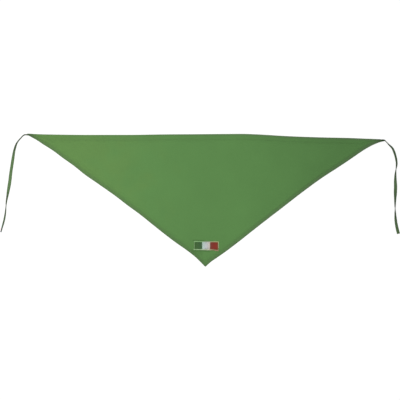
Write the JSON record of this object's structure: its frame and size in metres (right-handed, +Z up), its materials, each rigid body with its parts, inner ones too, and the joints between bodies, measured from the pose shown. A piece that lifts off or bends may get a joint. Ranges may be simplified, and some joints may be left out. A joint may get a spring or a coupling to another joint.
{
  "type": "triangular neckerchief with ties",
  "caption": "Triangular cook's neckerchief of green cloth, laid flat, hemmed all round, with a tie at each end of its long edge and a small stitched tricolour above the tip.",
  "frame": {"origin": "middle of the whole outline, on the surface that the neckerchief lies on", "axes": "+X along the long edge, to the right as it is looked down on with the tip nearest, +Y from the tip towards the long edge, +Z up out of the face"},
  "size_m": [0.802, 0.268, 0.0069],
  "materials": {
    "cloth": "matt fine twill, mid green",
    "tape": "matt folded tape of the same green twill",
    "border_thread": "satin stitch, pale grey green",
    "green_thread": "satin stitch, dark green",
    "white_thread": "satin stitch, white",
    "red_thread": "satin stitch, dark red"
  },
  "bodies": {
    "root": {"panel": "cloth", "neck_hem": "cloth", "hem_left": "cloth", "hem_right": "cloth", "tie_left": "tape", "tie_right": "tape", "flag_border": "border_thread", "flag_green": "green_thread", "flag_white": "white_thread", "flag_red": "red_thread"}
  },
  "joints": []
}
